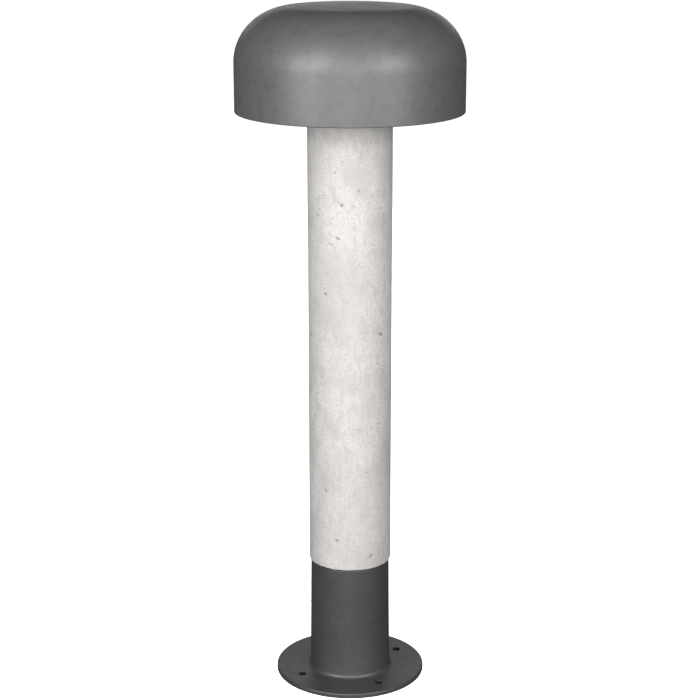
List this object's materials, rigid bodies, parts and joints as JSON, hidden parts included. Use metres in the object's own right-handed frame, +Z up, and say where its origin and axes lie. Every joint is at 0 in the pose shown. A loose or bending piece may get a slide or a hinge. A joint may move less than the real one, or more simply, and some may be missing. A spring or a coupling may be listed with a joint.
{
  "type": "bollard light",
  "caption": "Garden bollard light with a mushroom-shaped metal shade over an opal diffuser, a hollow concrete post and a round bolt-down base.",
  "frame": {"origin": "on the ground, in the middle of the underside of the base flange", "axes": "+Z up the post; the head and base are round, one carrier arm points to +Y and the viewed front faces -Y"},
  "size_m": [0.26, 0.26, 0.8],
  "materials": {
    "anthracite_coat": "fine-textured anthracite powder coat, satin",
    "concrete": "fair-faced concrete, fine pores, matt",
    "white_coat": "white powder coat, satin",
    "opal_cover": "opal polycarbonate, satin",
    "zinc_steel": "zinc-plated steel",
    "pillar_aluminium": "turned aluminium",
    "brass": "plain brass",
    "black_rubber": "EPDM rubber, matt",
    "silicone": "translucent white silicone",
    "black_plastic": "black polyamide",
    "white_plastic": "white polyamide",
    "porcelain": "white glazed porcelain",
    "lamp_white": "white moulded plastic",
    "lamp_opal": "opal moulded plastic",
    "black_flex": "rubber-sheathed flex",
    "core_brown": "PVC-insulated cores",
    "core_earth": "PVC-insulated earth core"
  },
  "bodies": {
    "root": {"base_casting": "anthracite_coat", "gland_plate": "zinc_steel", "gland_plate_seal": "black_rubber", "gland_plate_screws": "zinc_steel", "gland_body": "black_plastic", "gland_dome_nut": "black_plastic", "gland_lock_nut": "black_plastic", "gland_seal": "black_rubber", "terminal_bracket": "zinc_steel", "bracket_screws": "zinc_steel", "terminal_block": "white_plastic", "terminal_screws": "brass", "earth_lug": "brass", "earth_screw": "brass", "earth_wire": "core_earth", "grommet": "black_rubber", "flex_cable": "black_flex", "base_cores": "core_brown", "tie_rods": "zinc_steel", "lower_nuts": "zinc_steel", "lower_washers": "zinc_steel", "upper_nuts": "zinc_steel", "upper_washers": "zinc_steel", "lower_post_seal": "black_rubber", "concrete_post": "concrete", "upper_post_seal": "black_rubber", "lamp_carrier": "anthracite_coat", "diffuser_gasket": "silicone", "holder_strap": "zinc_steel", "strap_screws": "zinc_steel", "holder_nipple": "brass", "nipple_nut": "brass", "holder_body": "porcelain", "holder_shell": "brass", "holder_contact": "brass"},
    "head": {"shade_skirt": "anthracite_coat", "shade_shoulder": "anthracite_coat", "shade_top": "anthracite_coat", "shade_bosses": "anthracite_coat", "reflector_disc": "white_coat", "diffuser_top_seal": "silicone", "diffuser": "opal_cover", "diffuser_ring": "white_coat", "ring_screws": "zinc_steel", "shade_pillars": "pillar_aluminium"},
    "lamp_lift": {"lamp_contact": "zinc_steel", "lamp_insulator": "black_plastic"},
    "lamp": {"lamp_cap": "zinc_steel", "lamp_collar": "lamp_white", "lamp_board": "pillar_aluminium", "lamp_bulb": "lamp_opal"},
    "thumbscrew_1": {"thumbscrew_1": "zinc_steel"},
    "thumbscrew_2": {"thumbscrew_2": "zinc_steel"},
    "thumbscrew_3": {"thumbscrew_3": "zinc_steel"}
  },
  "joints": [
    {"name": "head_lift", "type": "slide", "parent": "root", "child": "head", "axis": [0, 0, 1], "range_m": [0, 0.13]},
    {"name": "lamp_rise", "type": "slide", "parent": "root", "child": "lamp_lift", "axis": [0, 0, 1], "range_m": [0, 0.0091]},
    {"name": "lamp_turn", "type": "hinge", "parent": "lamp_lift", "child": "lamp", "pos_m": [0, 0, 0.7], "axis": [0, 0, 1], "range_deg": [0, 900]},
    {"name": "thumbscrew_1_out", "type": "slide", "parent": "root", "child": "thumbscrew_1", "axis": [0, 0, -1], "range_m": [0, 0.02]},
    {"name": "thumbscrew_2_out", "type": "slide", "parent": "root", "child": "thumbscrew_2", "axis": [0, 0, -1], "range_m": [0, 0.02]},
    {"name": "thumbscrew_3_out", "type": "slide", "parent": "root", "child": "thumbscrew_3", "axis": [0, 0, -1], "range_m": [0, 0.02]}
  ],
  "couplings": [
    {"joint": "lamp_rise", "follows": "lamp_turn", "m_per_rad": 0.00057296}
  ]
}
